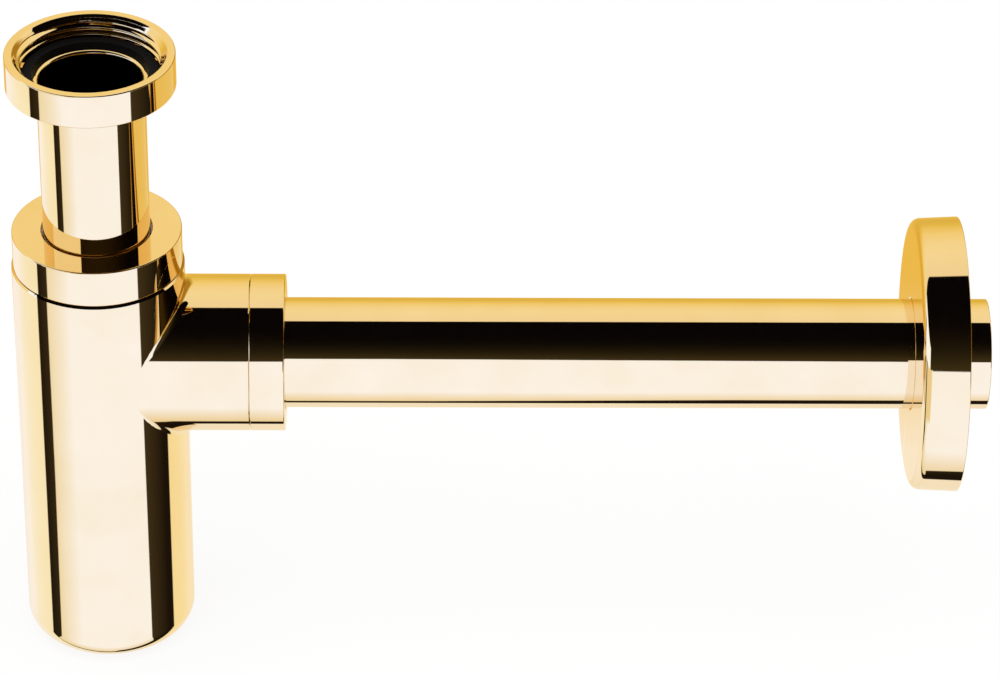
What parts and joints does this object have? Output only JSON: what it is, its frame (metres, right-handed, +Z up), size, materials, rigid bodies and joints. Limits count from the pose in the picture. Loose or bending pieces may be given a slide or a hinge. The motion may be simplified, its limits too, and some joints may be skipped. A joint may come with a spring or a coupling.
{
  "type": "bottle trap",
  "caption": "Polished gold-tone basin bottle trap with dip tube, gland nuts, wall pipe and sliding wall rosette.",
  "frame": {"origin": "centre of the inlet nut's rim, on the inlet tube's axis, where the basin waste screws in", "axes": "+Z up along the inlet tube, out of the inlet nut; +X along the wall pipe, towards the wall"},
  "size_m": [0.2818, 0.08, 0.1954],
  "materials": {
    "polished_brass": "mirror-polished gold-tone plating",
    "polished_nut": "mirror-polished gold-tone plating",
    "rubber": "matt moulded rubber",
    "slip_ring": "moulded nylon"
  },
  "bodies": {
    "trap": {"trap_body": "polished_brass", "gland_seal": "rubber", "outlet_seal": "rubber"},
    "gland_ring": {"gland_slip_ring": "slip_ring"},
    "gland_nut": {"gland_nut": "polished_nut"},
    "inlet": {"inlet_tube": "polished_brass", "inlet_washer": "rubber"},
    "inlet_nut": {"inlet_nut": "polished_nut"},
    "outlet_ring": {"outlet_slip_ring": "slip_ring"},
    "outlet_nut": {"outlet_nut": "polished_nut"},
    "pipe": {"outlet_pipe": "polished_brass"},
    "rosette": {"wall_rosette": "polished_brass", "rosette_o_ring": "rubber"}
  },
  "joints": [
    {"name": "gland_ring_lift", "type": "slide", "parent": "trap", "child": "gland_ring", "axis": [0, 0, 1], "range_m": [0, 0.0076]},
    {"name": "gland_nut_turn", "type": "hinge", "parent": "gland_ring", "child": "gland_nut", "pos_m": [0, 0, -0.0577], "axis": [0, 0, 1], "range_deg": [0, 1800]},
    {"name": "inlet_slide", "type": "slide", "parent": "trap", "child": "inlet", "axis": [0, 0, 1], "range_m": [-0.025, 0.02]},
    {"name": "inlet_nut_spin", "type": "hinge", "parent": "inlet", "child": "inlet_nut", "pos_m": [0, 0, -0.0102], "axis": [0, 0, 1], "continuous": true},
    {"name": "outlet_ring_shift", "type": "slide", "parent": "trap", "child": "outlet_ring", "axis": [1, 0, 0], "range_m": [0, 0.0062]},
    {"name": "outlet_nut_turn", "type": "hinge", "parent": "outlet_ring", "child": "outlet_nut", "pos_m": [0.0534, 0, -0.1004], "axis": [1, 0, 0], "range_deg": [0, 900]},
    {"name": "pipe_slide", "type": "slide", "parent": "trap", "child": "pipe", "axis": [1, 0, 0], "range_m": [-0.01, 0.012]},
    {"name": "rosette_slide", "type": "slide", "parent": "pipe", "child": "rosette", "axis": [1, 0, 0], "range_m": [-0.155, 0.006]}
  ],
  "couplings": [
    {"joint": "gland_ring_lift", "follows": "gland_nut_turn", "m_per_rad": 0.00023873},
    {"joint": "outlet_ring_shift", "follows": "outlet_nut_turn", "m_per_rad": 0.00036749}
  ]
}
